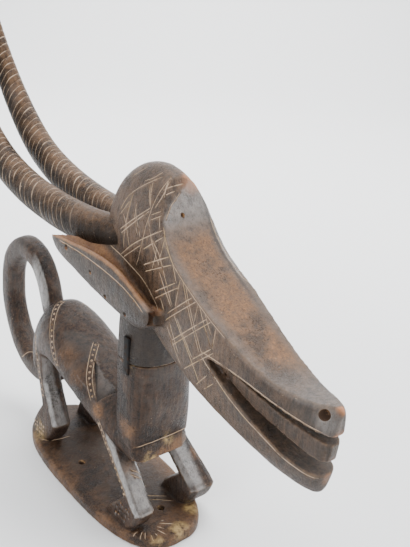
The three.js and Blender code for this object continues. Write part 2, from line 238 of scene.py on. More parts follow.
# Iron staples over the neck joint
STAPLE_WIDTH = 6
STAPLE_HEIGHT = 30
STAPLE_THICKNESS = 2.4
STAPLE_UP = 155.5
STAPLE_FORWARD = 56.5
STAPLE_OUTSIDE = 27.5

# Numbers of the finishes on a carving: its wood, the pale dust in cut lines, and wood left bare in holes
WOOD, CHALK, BARE = FINISHES = range(3)

# Lines cut in the sides of the head: forward, up. No line of a family crosses another of it. The families are
# rising lines, steep ones, more steep ones, ones across, and lines along edges.
LINE_FAMILIES = [[
    [(35, 254), (44, 266)], [(34, 257), (43, 271), (66, 288)], [(53, 282), (60, 286), (64, 291)],
    [(36, 280), (47, 289)], [(37, 244), (68, 269)], [(39, 242), (68, 267)], [(70, 265), (80, 271)],
    [(71, 262), (82, 269)], [(40, 227), (58, 242), (85, 260)], [(42, 225), (65, 243)],
    [(68, 241), (88, 257)], [(70, 231), (97, 247)], [(72, 227), (101, 243)], [(85, 218), (105, 232)],
    [(85, 213), (108, 230)], [(98, 207), (123, 230)], [(98, 203), (126, 228)], [(103, 189), (138, 222)],
    [(105, 187), (140, 220)], [(126, 187), (142, 202)], [(116, 174), (144, 200)], [(129, 169), (140, 182)],
    [(137, 170), (146, 179)],
], [
    [(46, 272), (43, 233)], [(53, 268), (54, 262), (63, 248)], [(60, 282), (67, 270)],
    [(70, 289), (84, 262)], [(69, 262), (76, 250), (87, 237)], [(90, 251), (99, 243), (106, 232)],
    [(88, 233), (103, 214)], [(111, 236), (132, 195)], [(127, 228), (142, 203)], [(91, 216), (96, 208)],
    [(106, 210), (123, 189), (133, 172)], [(99, 200), (114, 175)],
], [
    [(39, 256), (45, 250), (51, 236)], [(52, 261), (60, 248)], [(61, 284), (68, 269)],
    [(78, 267), (82, 258)], [(76, 251), (88, 241), (104, 215)], [(113, 236), (135, 194)],
    [(133, 224), (141, 211)], [(109, 209), (126, 188)], [(102, 203), (112, 184)],
], [
    [(69, 289), (71, 284), (66, 245), (61, 227)], [(85, 260), (88, 256), (86, 236)],
    [(109, 238), (107, 216)], [(127, 228), (126, 214)], [(144, 217), (143, 202)],
], [
    [(84, 261.5), (91, 251.5), (99, 243), (112, 235), (128, 226), (141, 219), (152, 213.5)],
    [(72, 287), (74, 281), (74, 276), (72, 270)],
    [(82, 248), (82, 240), (80, 232)],
    [(134, 196.5), (146, 196), (158, 195), (175, 192.8), (193, 189.6), (209.5, 187.3), (226, 185.5)],
    [
        (134, 193), (145, 185.5), (160, 175.5), (174.5, 168.5), (188, 163.3), (203, 157.2), (218, 154),
        (229, 152.4),
    ],
]]
LINE_RADIUS = 0.32
LINE_STEP = 2.5
LINE_GAP = 1.5
WIRE_END = 0.3

# Lines laid on a surface: side, forward, up. Those along the ears are on both sides.
BROW_LINES = [
    [(-14, 73, 282), (-10, 74, 283), (-7, 74, 283.5), (2, 74, 284)],
    [(-14, 74.5, 278), (-11, 75, 279.5), (-5, 75, 280.5)],
    [(-1, 75.3, 279), (-6.4, 76.8, 275), (-11, 78.4, 271.5), (-13, 79.6, 269), (-17, 82, 265)],
]
EAR_LINES = [
    [
        (-23, 27, 229), (-22.3, 38.6, 226.3), (-22.6, 44, 225.4), (-23.6, 62, 222), (-24.2, 73.5, 218),
        (-24.6, 82.4, 212.6), (-25, 90, 206),
    ],
    [
        (-40, -13, 221.5), (-40.6, 16, 223.3), (-40.5, 43, 222.5), (-39.7, 66, 219.6), (-39, 77, 216),
        (-38.3, 85, 213), (-38.3, 91, 209),
    ],
]
JOINT_LINE = [
    (-24.5, 60, 150.2), (-21.5, 66, 150.2), (-16.5, 71, 150.2), (-8, 74.3, 150.2), (1, 75, 150.2),
    (12, 73, 150.2),
]
BODY_LINES = [
    [(-24.5, 64.5, 79), (-22, 66.5, 79.8), (-12, 67, 80.2), (4, 67, 80.3), (18, 67, 80.2), (25, 64.5, 79)],
    [(-10, -145, 46.8), (-4, -135.6, 55.3), (-4, -132, 56)],
    [(-33, -66, 10), (-28, -60.5, 10), (-20, -57, 10), (-9, -56, 10)],
    [(-13, 63, 49), (-18, 61, 52.5), (-22, 59, 55)],
    [(-14.5, 65.5, 45.5), (-20, 63, 49.5), (-23.5, 61, 52)],
    [(-3, 50, 10), (8, 57, 10), (17, 65, 10)],
    [(-2, 44, 10), (9, 52, 10), (16, 57, 10)],
]

# Scratches that fan out over the plinth from the right front toe; its place: side, forward
TOE = (-16, 74)
TOE_SCRATCHES = 9
SCRATCH_FAN = 140
SCRATCH_STRAY = 9
SCRATCH_NEAR = 11
SCRATCH_FAR = 18
SCRATCH_RADIUS = 0.35

# Holes through the outer wall of the ears: forward, up, radius
EAR_HOLES = [(-2.6, 220.2, 2), (31, 214, 1.5), (48.5, 202.5, 1.5), (72, 199, 1.6)]
EAR_HOLE_SIDE = 40
EAR_HOLE_DEPTH = 8
EAR_HOLE_TURN = 70
# A notch in the front end of each ear: side, forward, up, half its width
EAR_PIT = (-32, 93, 205, 5)

# Dotted bands on the body: side, forward, up. The left side has shorter ones.
FLANK = [(-16, -69, 128), (-22, -62, 121), (-26.5, -54.5, 113), (-28.5, -47, 104), (-29, -40, 96)]
SHOULDER = [(-21, -3.5, 102.5), (-26.5, 11, 93)]
BANDS = [[(-2, -78, 134), (-9.5, -75, 132), *FLANK], [(-1, -26, 118), (-11.6, -15, 112), *SHOULDER]]
LEFT_BANDS = [[(-12, -73, 131), *FLANK], [(-14, -12, 110), *SHOULDER]]
LEG_BANDS = [
    [(-24.5, -87, 104), (-26.5, -83, 88), (-28.5, -75.5, 72), (-30.5, -66, 52)],
    [(-28.5, 22.8, 81), (-29.7, 35.2, 69.5), (-31.2, 52.2, 54.3), (-32.7, 68.4, 39.5)],
]
BAND_HALF = 2.4
LEG_BAND_HALF = 1.5
BAND_LINE_RADIUS = 0.27
PIT_SPACING = 5
PIT_RADIUS = 1.15
# Rows of pits on the outer sides of the right feet: one end, the other end
REAR_PIT_ROWS = [
    [(-31, -79, 22), (-30.6, -64, 24)], [(-31, -79, 17.5), (-30.6, -64, 19)],
    [(-31, -77, 13.5), (-30.8, -66, 14.5)],
]
FRONT_PIT_ROWS = [
    [(-32.3, 60, 31), (-33, 74, 30)], [(-32.6, 58, 25), (-33, 75, 24)], [(-33, 52, 19), (-33.2, 70, 18)],
]
PITS_IN_ROW = 5
PIT_STRAY = 1.6

# A flat place beside the band on the right shoulder, by its corners; how deep it is cut, how high its cutter
# is, and how much larger than the place
FACET = [(-11, -12, 110.5), (-11, 21, 100), (-25, 15.5, 93)]
FACET_DEPTH = 0.5
FACET_ROOM = 8
FACET_SPREAD = 1.06

# The carvings' surface: how fine it is, how often it is smoothed, and its triangles before the cuts
VOXEL = 0.9
WORN = 2
CARVING_TRIANGLES = 150000

# Knife marks: depth, how far they stretch along the carver's strokes, sizes of the broad and fine ones
MARK_DEPTH = 0.3
MARK_STRETCH = 0.75
BROAD_MARK = 7
FINE_MARK = 2.6
BODY_STROKES = (0, 0, 1)
HEAD_STROKES = (0, 0.86, -0.5)


def point(side, forward, up):
    """A place in metres from its distance in millimetres to the left, forward and up."""
    return Vector((side, -forward, up)) * MM


def slope(value, start, full):
    """0 at start, 1 at full and a smooth slope between, up or down."""
    t = np.clip((value - start) / (full - start), 0, 1)
    return t * t * (3 - 2 * t)


def spline(points, place):
    """The value at a place, counted in points, on a smooth curve through a list of points."""
    index = min(max(int(place), 0), len(points) - 2)
    t = place - index
    a, b, c, d = (np.array(points[min(max(index + k, 0), len(points) - 1)], float) for k in (-1, 0, 1, 2))
    start, end, rise = (c - a) / 2, (d - b) / 2, c - b
    return b + start * t + (3 * rise - 2 * start - end) * t**2 + (start + end - 2 * rise) * t**3


def section_at(sections, along):
    """The section of a form at a share of its length."""
    return spline(sections, min(max(along, 0), 1) * (len(sections) - 1))


def smooth_outline(points, steps=6):
    """A list of points made finer along a smooth curve."""
    return [tuple(spline(points, k / steps)) for k in range((len(points) - 1) * steps + 1)]


def rounded(angle, squareness):
    """A rounded square outline: 2 is an ellipse, more is squarer."""
    across, high = math.cos(angle), math.sin(angle)
    return (
        math.copysign(abs(across) ** (2 / squareness), across),
        math.copysign(abs(high) ** (2 / squareness), high),
    )


def even_path(corners, fineness=24):
    """A function of the distance along a smooth curve through corners, and the curve's length."""
    fine = np.array(smooth_outline(corners, fineness))
    gone = np.concatenate([[0], np.cumsum(np.linalg.norm(np.diff(fine, axis=0), axis=1))])

    def at(distance):
        return Vector([float(np.interp(distance, gone, fine[:, k])) for k in range(fine.shape[1])])

    return at, float(gone[-1])


def across_path(at, length, gone):
    """Two directions square to a path at a distance along it: level, and square to that."""
    step = 0.002 * length
    tangent = (at(min(gone + step, length)) - at(max(gone - step, 0))).normalized()
    normal = Vector((1, 0, 0)).cross(tangent).normalized()
    return tangent.cross(normal), normal


def mirrored(routes):
    """Routes on the right side laid over to the left side."""
    return [[(-side, forward, up) for side, forward, up in route] for route in routes]


def outward(bm):
    """Turns every face of closed shapes out."""
    bm.normal_update()
    bmesh.ops.recalc_face_normals(bm, faces=bm.faces)
    return bm


def of_kind(kind, geometry):
    return [g for g in geometry if isinstance(g, kind)]


def loft(surface, sides, steps, chalked=None):
    """A capped tube whose wall follows surface(share of the length, angle); chalked(row) is a row's dust."""
    bm = bmesh.new()
    bmesh.ops.create_cone(bm, cap_ends=True, segments=sides, radius1=1, radius2=1, depth=1)
    upright = [e for e in bm.edges if abs(e.verts[0].co.z - e.verts[1].co.z) > 0.5]
    if steps > 1:
        bmesh.ops.subdivide_edges(bm, edges=upright, cuts=steps - 1, use_grid_fill=True)
    layer = bm.verts.layers.float.new("chalk") if chalked else None
    for v in bm.verts:
        row = round((v.co.z + 0.5) * steps)
        v.co = surface(row / steps, math.atan2(v.co.y, v.co.x))
        if chalked:
            v[layer] = chalked(row)
    return outward(bm)


def board(outline, width, chamfer=(0, 0), levels=(), crisp=0):
    """A side outline of (forward, up) points as a board across the middle, in millimetres.

    At the first points of the outline, as many as crisp says, the chamfer is narrow.
    """
    depth, inset = chamfer
    bm = bmesh.new()
    face = bm.faces.new([bm.verts.new((depth - width / 2, f, u)) for f, u in outline])
    made = bmesh.ops.extrude_face_region(bm, geom=[face])["geom"]
    bmesh.ops.translate(bm, verts=of_kind(VERTEX, made), vec=(width - 2 * depth, 0, 0))
    bmesh.ops.recalc_face_normals(bm, faces=bm.faces)
    if depth:
        ends = [f for f in bm.faces if abs(f.normal.x) > 0.9]
        for end in ends:
            bmesh.ops.inset_region(bm, faces=[end], thickness=inset, depth=depth, use_even_offset=True)
            for v in end.verts:
                own = min(range(len(outline)), key=lambda k: math.dist(outline[k], v.co.yz))
                if own < crisp:
                    v.co.yz = Vector(outline[own]).lerp(v.co.yz, CRISP_SHARE)
    for up in levels:
        everything = bm.verts[:] + bm.edges[:] + bm.faces[:]
        bmesh.ops.bisect_plane(bm, geom=everything, plane_co=(0, 0, up), plane_no=(0, 0, 1))
    return bm


def placed(bm, place):
    """Moves each vertex of a board to place(side, forward, up)."""
    for v in bm.verts:
        v.co = place(*v.co)
    return outward(bm)


def linked(name, data):
    """A new object in the scene."""
    made = bpy.data.objects.new(name, data)
    bpy.context.scene.collection.objects.link(made)
    return made


def object_of(name, bm, finishes=()):
    """A bmesh as an object with its finishes; the bmesh is used up."""
    mesh = bpy.data.meshes.new(name)
    bm.to_mesh(mesh)
    bm.free()
    for finish in finishes:
        mesh.materials.append(finish)
    return linked(name, mesh)


def evaluated(made, *helpers):
    """The finished mesh of an object with modifiers, as a bmesh; the object and its helpers are deleted."""
    depsgraph = bpy.context.evaluated_depsgraph_get()
    depsgraph.update()
    mesh = bpy.data.meshes.new_from_object(made.evaluated_get(depsgraph))
    bm = bmesh.new()
    bm.from_mesh(mesh)
    bpy.data.batch_remove([mesh, made.data, made, *(h.data for h in helpers), *helpers])
    return bm


def carve(piece, tool, operation="DIFFERENCE", finish=WOOD):
    """One bmesh cut from, or kept where it meets, another; the cut faces take a finish by its number."""
    for face in tool.faces:
        face.material_index = finish
    slots = [None] * len(FINISHES)
    piece, tool = object_of("piece", piece, slots), object_of("tool", tool, slots)
    cut = piece.modifiers.new("cut", "BOOLEAN")
    cut.object = tool
    cut.operation = operation
    cut.solver = "MANIFOLD"
    cut.material_mode = "INDEX"
    return evaluated(piece, tool)


def one_surface(parts):
    """Overlapping closed parts melted into one worn surface."""
    all_parts = bmesh.new()
    for part in parts:
        mesh = bpy.data.meshes.new("part")
        part.to_mesh(mesh)
        part.free()
        all_parts.from_mesh(mesh)
        bpy.data.meshes.remove(mesh)
    solid = object_of("solid", all_parts)
    melt = solid.modifiers.new("melt", "REMESH")
    melt.mode = "VOXEL"
    melt.voxel_size = VOXEL * MM
    bm = evaluated(solid)
    axes = dict.fromkeys(("use_axis_x", "use_axis_y", "use_axis_z"), True)
    for _ in range(WORN):
        bmesh.ops.smooth_vert(bm, verts=bm.verts, factor=0.5, **axes)
    return bm


def thinned(bm):
    """The same surface with fewer triangles."""
    corners = sum(len(f.verts) - 2 for f in bm.faces)
    solid = object_of("solid", bm)
    thin = solid.modifiers.new("thin", "DECIMATE")
    thin.ratio = min(1, CARVING_TRIANGLES / corners)
    return evaluated(solid)


def wires(routes, radius):
    """Thin closed wires along routes of places in metres."""
    curve = bpy.data.curves.new("wires", "CURVE")
    curve.dimensions = "3D"
    curve.bevel_depth = radius * MM
    curve.bevel_resolution = 0
    curve.use_fill_caps = True
    for route in routes:
        line = curve.splines.new("POLY")
        line.points.add(len(route) - 1)
        for spot, place in zip(line.points, route):
            spot.co = (*place, 1)
        line.points[0].radius = line.points[-1].radius = WIRE_END
    bm = evaluated(linked("wires", curve))
    bmesh.ops.remove_doubles(bm, verts=bm.verts, dist=1e-7)
    return outward(bm)


def pits(places, radius):
    """A small ball at each place."""
    bm = bmesh.new()
    for place in places:
        bmesh.ops.create_icosphere(bm, subdivisions=1, radius=radius * MM, matrix=Matrix.Translation(place))
    return bm


def on_side(blade, skin, route, hand):
    """A route of (forward, up) points laid on one side of the head, as far as nothing covers it."""
    at, length = even_path(route)
    count = max(2, round(length / LINE_STEP))
    laid = []
    for k in range(count + 1):
        forward, up = at(length * k / count)
        hit = blade.ray_cast(point(hand * 2 * HEAD_ROOM, forward, up), Vector((-hand, 0, 0)))[0]
        if hit is not None:
            near, _, _, gap = skin.find_nearest(hit)
            if gap < LINE_GAP * MM:
                laid.append(near)
    return laid


def on_skin(skin, route):
    """A route of places laid on a surface."""
    at, length = even_path([point(*p) for p in route])
    count = max(2, round(length / (LINE_STEP * MM)))
    return [skin.find_nearest(at(length * k / count))[0] for k in range(count + 1)]


def dotted_band(skin, route, half):
    """Two lines beside a route over a surface, half the band's width away, and the row of pits between."""
    at, length = even_path([point(*p) for p in route])

    def laid(distance, aside):
        tangent = (at(distance + MM) - at(distance - MM)).normalized()
        near, normal, _, _ = skin.find_nearest(at(distance))
        across = normal.cross(tangent).normalized()
        return skin.find_nearest(near + across * (aside * MM))[0]

    count = round(length / (LINE_STEP * MM))
    lines = [[laid(length * k / count, aside) for k in range(count + 1)] for aside in (-half, half)]
    dots = round(length / (PIT_SPACING * MM))
    return lines, [laid(length * (k + 0.5) / dots, 0) for k in range(dots)]


def pit_row_places(skin, rows):
    """Places a little out of line along each row."""
    places = []
    for start, end in rows:
        at, length = even_path([point(*start), point(*end)])
        for k in range(PITS_IN_ROW):
            spot = at(length * k / (PITS_IN_ROW - 1))
            places.append(skin.find_nearest(spot + noise.noise_vector(spot * 400) * (PIT_STRAY * MM))[0])
    return places


def tool_marks(bm, along):
    """Shallow knife and adze marks, longer in the direction along."""
    bm.normal_update()
    along = Vector(along).normalized()
    moves = []
    for v in bm.verts:
        stretched = v.co - along * (v.co.dot(along) * MARK_STRETCH)
        broad = noise.noise(stretched / (BROAD_MARK * MM))
        fine = noise.noise(stretched / (FINE_MARK * MM) + Vector((5, 1, 7)))
        moves.append(v.normal * ((0.7 * broad + 0.3 * fine) * MARK_DEPTH * MM))
    for v, move in zip(bm.verts, moves):
        v.co += move
    return bm


def make_plinth():
    def surface(along, angle):
        up, inset = PLINTH_LEVELS[round(along * (len(PLINTH_LEVELS) - 1))]
        u, v = rounded(angle, PLINTH_SQUARENESS)
        return point(u * (PLINTH_HALF_WIDTH - inset), PLINTH_CENTRE + v * (PLINTH_HALF_LENGTH - inset), up)

    return loft(surface, sides=120, steps=len(PLINTH_LEVELS) - 1)


def make_trunk():
    def surface(along, angle):
        forward, top, edge, belly, half = section_at(TRUNK, along)
        u, v = rounded(angle, BACK_SQUARENESS if math.sin(angle) > 0 else BELLY_SQUARENESS)
        return point(u * half, forward, edge + v * (top - edge if v > 0 else edge - belly))

    return loft(surface, sides=72, steps=64)


def make_neck(low, high):
    levels = [s[0] for s in NECK]

    def surface(along, angle):
        up = low + (high - low) * along
        side, forward, half_width, half_depth, squareness = (
            np.interp(up, levels, [s[k] for s in NECK]) for k in range(1, 6)
        )
        u, v = rounded(angle, squareness)
        return point(side + u * half_width, forward + v * half_depth, up)

    return loft(surface, sides=72, steps=24)


def leg_outline(shape):
    """Down the back of a leg, round the foot on the ground and up its front."""
    ground = PLINTH_THICKNESS - FOOT_SUNK
    heel_bend, heel_ground = shape["heel"]
    toe_ground, toe_bend, toe_end, toe_up = shape["toe"]
    outline = list(shape["back"])

    def bend(start, corner, end):
        for k in range(1, FOOT_CURVE_STEPS + 1):
            t = k / FOOT_CURVE_STEPS
            shares = (1 - t) ** 2, 2 * t * (1 - t), t * t
            places = zip(start, corner, end)
            outline.append(tuple(sum(s * p for s, p in zip(shares, ends)) for ends in places))

    bend(outline[-1], (heel_bend, FOOT_CURVE_UP), (heel_ground, ground))
    outline.append((toe_ground, ground))
    bend(outline[-1], (toe_bend, FOOT_CURVE_UP), (toe_end, toe_up))
    return outline + shape["front"]


def make_leg(shape, hand, shoulder, knee, flare):
    splay = (knee - shoulder) / (SHOULDER_UP - KNEE_UP)

    def place(across, forward, up):
        above = max(up, KNEE_UP) - KNEE_UP
        grown = flare * (0.5 + hand * across / LEG_WIDTH) * (1 - above / (SHOULDER_UP - KNEE_UP))
        return point(hand * (knee - splay * above + grown) + across, forward, up)

    levels = [KNEE_UP + k * (SHOULDER_UP - KNEE_UP) / LEG_LEVELS for k in range(LEG_LEVELS)]
    leg = board(leg_outline(shape), LEG_WIDTH, LEG_CHAMFER, levels, crisp=len(shape["back"]))
    return placed(leg, place)


def make_tail():
    at, length = even_path([point(0, forward, up) for forward, up in TAIL])

    def surface(along, angle):
        gone = along * length
        level, normal = across_path(at, length, gone)
        u, v = rounded(angle, TAIL_SQUARENESS)
        radius = (TAIL_BASE + (TAIL_TIP - TAIL_BASE) * along) * MM
        return at(gone) + level * (u * radius * TAIL_ACROSS) + normal * (v * radius)

    return loft(surface, sides=40, steps=160)


def bored(piece, place, radius, depth, turn=0, axis="Y", finish=BARE):
    """A bmesh with a round hole bored at a place, upright but for a turn round an axis."""
    drill, size = bmesh.new(), radius * MM
    bmesh.ops.create_cone(drill, cap_ends=True, segments=24, radius1=size, radius2=size, depth=depth * MM)
    bmesh.ops.rotate(drill, verts=drill.verts, matrix=Matrix.Rotation(turn, 3, axis))
    bmesh.ops.translate(drill, verts=drill.verts, vec=place)
    return carve(piece, drill, finish=finish)


def plane_up(corners):
    """The upward direction square to the plane through three corners."""
    up = (corners[1] - corners[0]).cross(corners[2] - corners[0]).normalized()
    return up * math.copysign(1, up.z)


def wedge(corners, depth, height):
    """A three-sided block that stands on corners sunk by depth."""
    low = [point(*c) for c in corners]
    middle = sum(low, Vector()) / 3
    up = plane_up(low)
    bm = bmesh.new()
    bmesh.ops.create_cone(bm, cap_ends=True, segments=3, radius1=1, radius2=1, depth=1)
    for v in bm.verts:
        corner = low[round(math.atan2(v.co.y, v.co.x) * 3 / (2 * math.pi)) % 3]
        level = -depth if v.co.z < 0 else height
        v.co = middle + (corner - middle) * FACET_SPREAD + up * (level * MM)
    return outward(bm)


def toe_scratches():
    """Short lines that fan out from the toe, as routes over the plinth."""
    spokes = []
    for k in range(TOE_SCRATCHES):
        stray = SCRATCH_STRAY * noise.noise(Vector((k, 3.3, 0)))
        turn = math.radians(-SCRATCH_FAN / 2 + SCRATCH_FAN * k / (TOE_SCRATCHES - 1) + stray)
        ends = SCRATCH_NEAR + 2 * math.sin(5 * k), SCRATCH_FAR + 4 * math.sin(3 * k)
        across, along = math.sin(turn), math.cos(turn)
        spokes.append([(TOE[0] + far * across, TOE[1] + far * along, PLINTH_THICKNESS) for far in ends])
    return spokes


def make_body():
    legs = [
        make_leg(shape, *side)
        for shape, sides in ((FRONT_LEG, FRONT_SIDES), (REAR_LEG, REAR_SIDES))
        for side in sides
    ]
    chest = placed(board(CHEST, CHEST_WIDTH, CHEST_CHAMFER), point)
    parts = [make_plinth(), make_trunk(), chest, make_neck(NECK_FOOT, NECK_JOINT), make_tail(), *legs]
    body = thinned(tool_marks(one_surface(parts), BODY_STROKES))
    skin = BVHTree.FromBMesh(body)
    body = carve(body, wedge(FACET, FACET_DEPTH, FACET_ROOM))
    for side, forward in PLINTH_HOLES:
        middle = point(side, forward, PLINTH_THICKNESS / 2)
        body = bored(body, middle, PLINTH_HOLE_RADIUS, 3 * PLINTH_THICKNESS)
    lines, dots = [], []
    for bands, half in ((BANDS + mirrored(LEFT_BANDS), BAND_HALF), (LEG_BANDS, LEG_BAND_HALF)):
        for band in bands:
            beside, between = dotted_band(skin, band, half)
            lines += beside
            dots += between
    dots += pit_row_places(skin, REAR_PIT_ROWS)
    body = carve(body, wires(lines, BAND_LINE_RADIUS), finish=CHALK)
    scratches = [on_skin(skin, route) for route in BODY_LINES + toe_scratches()]
    body = carve(body, wires(scratches, SCRATCH_RADIUS), finish=CHALK)
    body = carve(body, pits(pit_row_places(skin, FRONT_PIT_ROWS), PIT_RADIUS), finish=BARE)
    return carve(body, pits(dots, PIT_RADIUS), finish=CHALK)


def make_blade(narrower=1):
    def surface(along, angle):
        forward, top, belly, half, crown, jaw, rake = section_at(HEAD, along)
        u, v = rounded(angle, crown if math.sin(angle) > 0 else jaw)
        middle = belly + (top - belly) * HEAD_WAIST
        up = middle + v * (top - middle if v > 0 else middle - belly)
        return point(narrower * u * half, forward - rake * (top - up), up)

    return loft(surface, sides=96, steps=120)


def make_head_block():
    face = smooth_outline(FACE) + [(FACE[-1][0], ABOVE_HEAD), (FACE[0][0], ABOVE_HEAD)]

    def fall_away(across, forward, up):
        out = across + HEAD_ROOM / 2
        fade = slope(forward, CHAMFER_TO, CHAMFER_FROM)
        rise = out * CHAMFER_RISE - out * (CHAMFER_FALL + CHAMFER_RISE) * fade
        return point(CHAMFER_SIDE + out, forward, up + rise)

    head = carve(make_blade(), placed(board(face, 2 * HEAD_ROOM), point))
    head = carve(head, placed(board(face, HEAD_ROOM), fall_away))
    head = carve(head, placed(board(LIPS, 2 * HEAD_ROOM), point))
    tongue = carve(make_blade(TONGUE_NARROWER), placed(board(TONGUE, 2 * HEAD_ROOM), point), "INTERSECT")
    return [head, tongue]


def make_ear(hand):
    def corners(along):
        forward, outside, inside, low, rim, inner, hollow = section_at(EAR, along)
        height, floor = rim - low, rim - hollow
        profile = [
            (0.55, low), (0.8, low + 0.04 * height), (0.94, low + 0.2 * height), (1, low + 0.5 * height),
            (1, low + 0.8 * height), (0.96, rim), (1 - EAR_WALL, rim - 0.1 * hollow),
            (0.72, floor + 0.3 * hollow), (0.55, floor), (0.38, floor + 0.12 * hollow),
            (0.2, (floor + inner) / 2), (0.04, inner), (0, low + 0.5 * height), (0.22, low + 0.1 * height),
        ]
        return forward, [(inside + (outside - inside) * share, up) for share, up in profile]

    def surface(along, angle):
        forward, profile = corners(along)
        place = (angle / (2 * math.pi)) % 1 * len(profile)
        side, up = spline(profile[-1:] + profile + profile[:2], place + 1)
        return point(hand * side, forward, up)

    return loft(surface, sides=56, steps=64)


def make_head():
    parts = [*make_head_block(), make_neck(NECK_JOINT + JOINT_GAP, NECK_TOP), make_ear(-1), make_ear(1)]
    blade = BVHTree.FromBMesh(parts[0])
    head = thinned(tool_marks(one_surface(parts), HEAD_STROKES))
    skin = BVHTree.FromBMesh(head)
    for family in LINE_FAMILIES:
        routes = [on_side(blade, skin, route, hand) for route in family for hand in (-1, 1)]
        head = carve(head, wires([r for r in routes if len(r) > 2], LINE_RADIUS), finish=CHALK)
    laid = [on_skin(skin, r) for r in [*BROW_LINES, *EAR_LINES, *mirrored(EAR_LINES), JOINT_LINE]]
    head = carve(head, wires(laid, LINE_RADIUS), finish=CHALK)
    forward, up, radius = MUZZLE_HOLE
    head = bored(head, point(0, forward, up), radius, 2 * HEAD_ROOM, math.pi / 2)
    side, forward, up, radius, depth = BROW_HOLE
    head = bored(head, point(side, forward, up), radius, 2 * depth, math.pi / 2, "X")
    for hand in (-1, 1):
        for forward, up, radius in EAR_HOLES:
            near = skin.find_nearest(point(hand * EAR_HOLE_SIDE, forward, up))[0]
            turn = math.radians(EAR_HOLE_TURN) * hand
            head = bored(head, near, radius, EAR_HOLE_DEPTH, turn, finish=WOOD)
        side, forward, up, half = EAR_PIT
        pit = bmesh.new()
        bmesh.ops.create_cube(pit, size=2 * half * MM)
        bmesh.ops.translate(pit, verts=pit.verts, vec=point(-hand * side, forward, up))
        head = carve(head, pit)
    return head


def make_horn(hand):
    """A horn with a groove cut round it for each ring; the rows of vertices follow the grooves."""
    corners = []
    for side, forward, up in HORN:
        drop = LEFT_HORN_DROP * slope(forward, HORN_DROP_FROM, 0) if hand > 0 else 0
        corners.append(point(hand * side, forward, up - drop))
    at, length = even_path(corners)
    rings = int(length / (RING_SPACING * MM))
    steps = rings * len(RING_ROWS)
    seed = Vector((3 + hand, 11, 5))

    def surface(along, angle):
        ring, kind = divmod(round(along * steps), len(RING_ROWS))
        phase = RING_ROWS[kind]
        rim = Vector((math.cos(angle), math.sin(angle), 0))
        wobble = RING_WOBBLE * noise.noise(rim * 1.3 + seed + Vector((0, 0, ring * 0.9)))
        free = slope(along, 0, 0.06) * slope(along, 1, 0.92)
        level, normal = across_path(at, length, along * length)
        tilt = (level * rim.x + normal * rim.y).dot(Vector(RING_TILT_TOWARDS)) * RING_TILT
        gone = (ring + phase + wobble * free) / rings * length - tilt * HORN_BASE * MM * free
        gone = min(max(gone, 0), length)
        share = gone / length
        level, normal = across_path(at, length, gone)
        uneven = 0.75 + 0.4 * noise.noise(rim * 1.6 + Vector((0, 0, ring * 1.7)))
        depth = RING_DEPTH * slope(share, 0.06, 0.22) * uneven
        cut = depth * slope(min(phase, 1 - phase), GROOVE_REACH, 0)
        radius = HORN_BASE + (HORN_TIP - HORN_BASE) * share**HORN_TAPER - cut
        radius *= 1 - slope(share, 0.985, 1) * 0.6
        return at(gone) + (level * rim.x + normal * rim.y) * (radius * MM)

    def chalked(row):
        return float(row % len(RING_ROWS) == 0) * slope(row / steps, 0.07, 0.25)

    return loft(surface, sides=34, steps=steps, chalked=chalked)


def make_staple(hand):
    bm = bmesh.new()
    bmesh.ops.create_cube(bm, size=1)
    bmesh.ops.scale(bm, verts=bm.verts, vec=Vector((STAPLE_THICKNESS, STAPLE_WIDTH, STAPLE_HEIGHT)) * MM)
    worn = {"offset": 0.5 * MM, "segments": 2, "profile": 0.5, "material": -1}
    bmesh.ops.bevel(bm, geom=bm.edges[:], affect="EDGES", **worn)
    centre = point(hand * (STAPLE_OUTSIDE - STAPLE_THICKNESS / 2), STAPLE_FORWARD, STAPLE_UP)
    bmesh.ops.translate(bm, verts=bm.verts, vec=centre)
    return bm


# Materials

GREY_BLOOM = (0.075, 0.070, 0.067)
# Brown wear tones; on the horns' upper sides they are painted light, and in the ears' troughs they, with
# BARE_ORANGE and OCHRE, lighten the shade as painted light
RUBBED_DARK = (0.085, 0.042, 0.020)
RUBBED_LIGHT = (0.25, 0.125, 0.055)
# A pale grey painted into the colour where a surface is polished: a painted sheen standing for reflected
# light
PAINTED_SHEEN_GREY = (0.19, 0.178, 0.168)
SCRATCH_TONE = (0.17, 0.11, 0.075)
# Lighter brown on convex edges: worn edges, and partly a painted highlight along them
WORN_EDGE_AND_HIGHLIGHT = (0.20, 0.125, 0.075)
BARE_ORANGE = (0.40, 0.17, 0.075)
# Darker in hollows and creases, and painted shade under the head, between the legs and on the horns' lower
# sides
DARK_AND_SHADE_TONE = (0.008, 0.006, 0.005)
CHALK_TONE = (0.46, 0.34, 0.24)
OCHRE = (0.38, 0.265, 0.11)
IRON_BLACK = (0.006, 0.006, 0.006)
IRON_RUST = (0.03, 0.016, 0.009)
POLISH_ROUGHNESS = (0.25, 0.25, 0.25)
SCRATCH_TURNS = (0.3, 0.9, 0.2), (-0.8, 0.2, 0.5)

# The border of the upper part of the face that gets a grey painted sheen, towards the engraved side: heights
# and sides
FACE_CORNER_UP = (264, 269, 271.5, 275, 279, 284)
FACE_CORNER_SIDE = (-20, -13, -11, -6.4, -0.7, 7)

# Spots of painted sheen, bare wood, dust, painted shadow, faded or rubbed wood: side, forward, up, reach
HEAD_PAINTED_SHEEN = [(-8, 228, 193, 12), (-35, 90, 211, 7)]
HEAD_BARE = [(9, 73, 284.5, 11.5), (-2, 233, 202, 6), (0, 231, 184, 5), (0, 233, 166, 5), (0, 230, 150, 6)]
BODY_DUST = [
    (5, 69, 79, 6), (-23, 62, 149, 4), (2, 93, 10, 11), (24, 80, 10, 9), (-20, 95, 9, 8), (15, 62, 60, 9),
    (-31, -70, 17, 14), (-12, 71, 68, 8),
]
